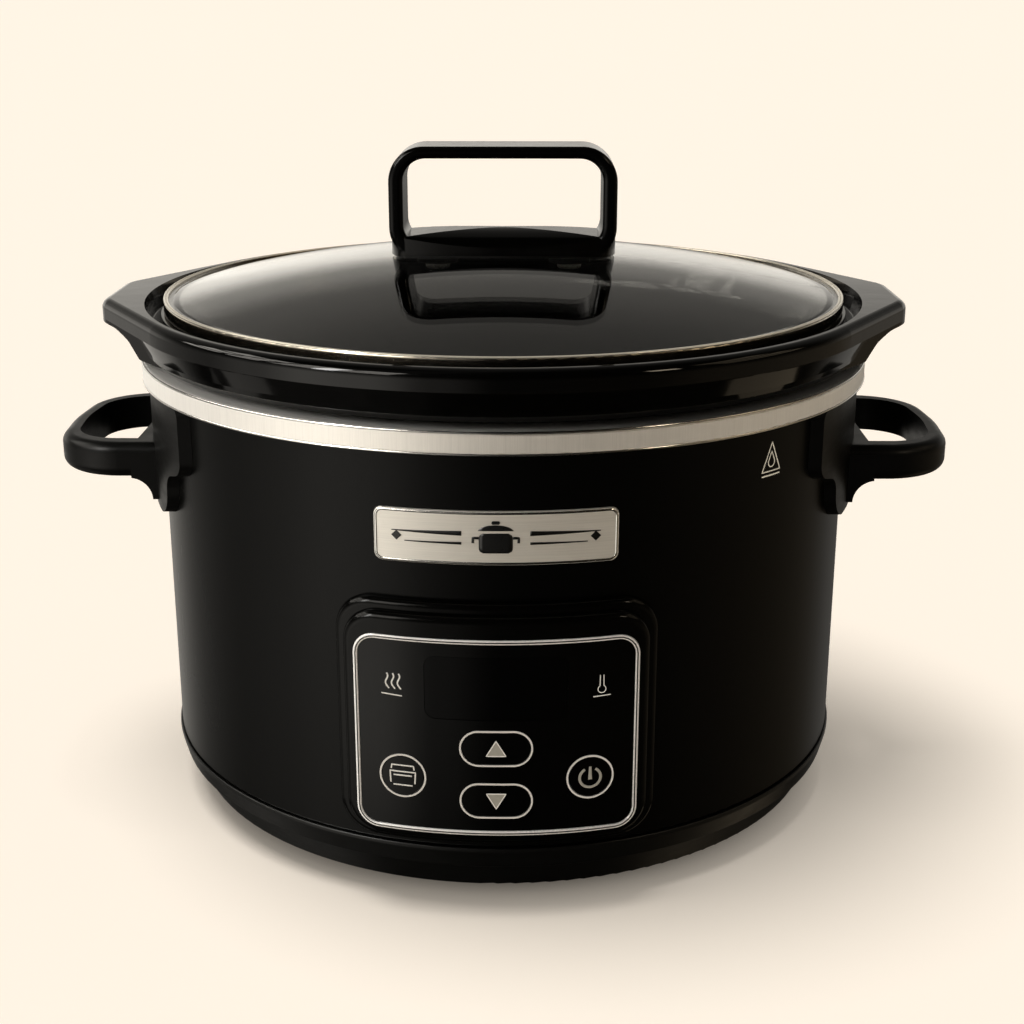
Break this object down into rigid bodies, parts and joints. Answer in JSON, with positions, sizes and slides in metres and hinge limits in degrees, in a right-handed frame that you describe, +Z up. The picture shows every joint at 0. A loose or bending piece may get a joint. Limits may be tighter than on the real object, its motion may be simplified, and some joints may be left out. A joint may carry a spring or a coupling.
{
  "type": "slow cooker",
  "caption": "Round countertop slow cooker: lift-out glazed crock with two tabs, domed glass lid with an upright loop handle, steel band, side handles and a curved key panel.",
  "frame": {"origin": "on the vertical axis of the round body, at the level of the worktop it stands on", "axes": "+Z up, -Y towards the user (the control panel's side), +X towards the handle on the user's right"},
  "size_m": [0.3268, 0.2684, 0.2352],
  "materials": {
    "base_shell": "satin moulded black",
    "base_plate": "dark powder coat",
    "rubber_feet": "matt",
    "base_screws": "zinc plated",
    "cord_gland": "moulded black",
    "well_standoffs": "turned",
    "standoff_screws": "zinc plated",
    "heating_liner": "satin pressed",
    "heating_element": "folded steel over mica",
    "element_clamp": "spring steel",
    "insulation_wrap": "glass-fibre felt",
    "temperature_sensor": "pressed cup",
    "sensor_spring": "spring steel",
    "thermal_fuse": "plated case",
    "fuse_clip": "spring steel",
    "power_board": "phenolic board",
    "board_posts": "natural nylon",
    "relay": "blue case",
    "transformer": "laminated core with bobbin",
    "capacitor": "sleeved can",
    "terminal_block": "green moulded",
    "control_board": "green lacquered board",
    "tact_switches": "black body",
    "display_module": "dark segment block",
    "processor": "moulded package",
    "control_bezel": "semi-gloss moulded black",
    "fascia": "gloss black film",
    "fascia_trim": "bright silver line",
    "display_window": "smoked window",
    "key_rings": "bright silver ring",
    "key_up": "gloss black",
    "key_down": "gloss black",
    "key_menu": "gloss black",
    "key_power": "gloss black",
    "outer_wall": "satin black enamel",
    "steel_band": "fine upright brushing",
    "badge_plate": "level brushing with a bright border",
    "side_handle_right": "matt moulded black",
    "side_handle_left": "matt moulded black",
    "handle_screws": "zinc plated",
    "crock": "gloss black glaze",
    "lid_glass": "clear toughened glass",
    "lid_rim": "rolled bright steel",
    "lid_handle": "gloss black",
    "handle_gasket": "silicone pad",
    "lid_washers": "silicone",
    "lid_screws": "stainless"
  },
  "bodies": {
    "housing": {"base_shell": "base_shell", "base_plate": "base_plate", "rubber_feet": "rubber_feet", "base_screws": "base_screws", "cord_gland": "cord_gland", "well_standoffs": "well_standoffs", "standoff_screws": "standoff_screws", "heating_liner": "heating_liner", "heating_element": "heating_element", "element_clamp": "element_clamp", "insulation_wrap": "insulation_wrap", "temperature_sensor": "temperature_sensor", "sensor_spring": "sensor_spring", "thermal_fuse": "thermal_fuse", "fuse_clip": "fuse_clip", "power_board": "power_board", "board_posts": "board_posts", "relay": "relay", "transformer": "transformer", "capacitor": "capacitor", "terminal_block": "terminal_block", "control_board": "control_board", "tact_switches": "tact_switches", "display_module": "display_module", "processor": "processor", "control_bezel": "control_bezel", "fascia": "fascia", "fascia_trim": "fascia_trim", "display_window": "display_window", "key_rings": "key_rings", "outer_wall": "outer_wall", "steel_band": "steel_band", "badge_plate": "badge_plate", "side_handle_right": "side_handle_right", "side_handle_left": "side_handle_left", "handle_screws": "handle_screws"},
    "crock": {"crock": "crock"},
    "lid": {"lid_glass": "lid_glass", "lid_rim": "lid_rim", "lid_handle": "lid_handle", "handle_gasket": "handle_gasket", "lid_washers": "lid_washers", "lid_screws": "lid_screws"},
    "key_up": {"key_up": "key_up"},
    "key_down": {"key_down": "key_down"},
    "key_menu": {"key_menu": "key_menu"},
    "key_power": {"key_power": "key_power"}
  },
  "joints": [
    {"name": "crock_lift", "type": "slide", "parent": "housing", "child": "crock", "axis": [0, 0, 1], "range_m": [0, 0.16]},
    {"name": "lid_lift", "type": "slide", "parent": "crock", "child": "lid", "axis": [0, 0, 1], "range_m": [0, 0.12]},
    {"name": "key_up_press", "type": "slide", "parent": "housing", "child": "key_up", "axis": [0, 1, 0], "range_m": [0, 0.0008], "stiffness_N_per_m": 900},
    {"name": "key_down_press", "type": "slide", "parent": "housing", "child": "key_down", "axis": [0, 1, 0], "range_m": [0, 0.0008], "stiffness_N_per_m": 900},
    {"name": "key_menu_press", "type": "slide", "parent": "housing", "child": "key_menu", "axis": [0, 1, 0], "range_m": [0, 0.0008], "stiffness_N_per_m": 900},
    {"name": "key_power_press", "type": "slide", "parent": "housing", "child": "key_power", "axis": [0, 1, 0], "range_m": [0, 0.0008], "stiffness_N_per_m": 900}
  ]
}
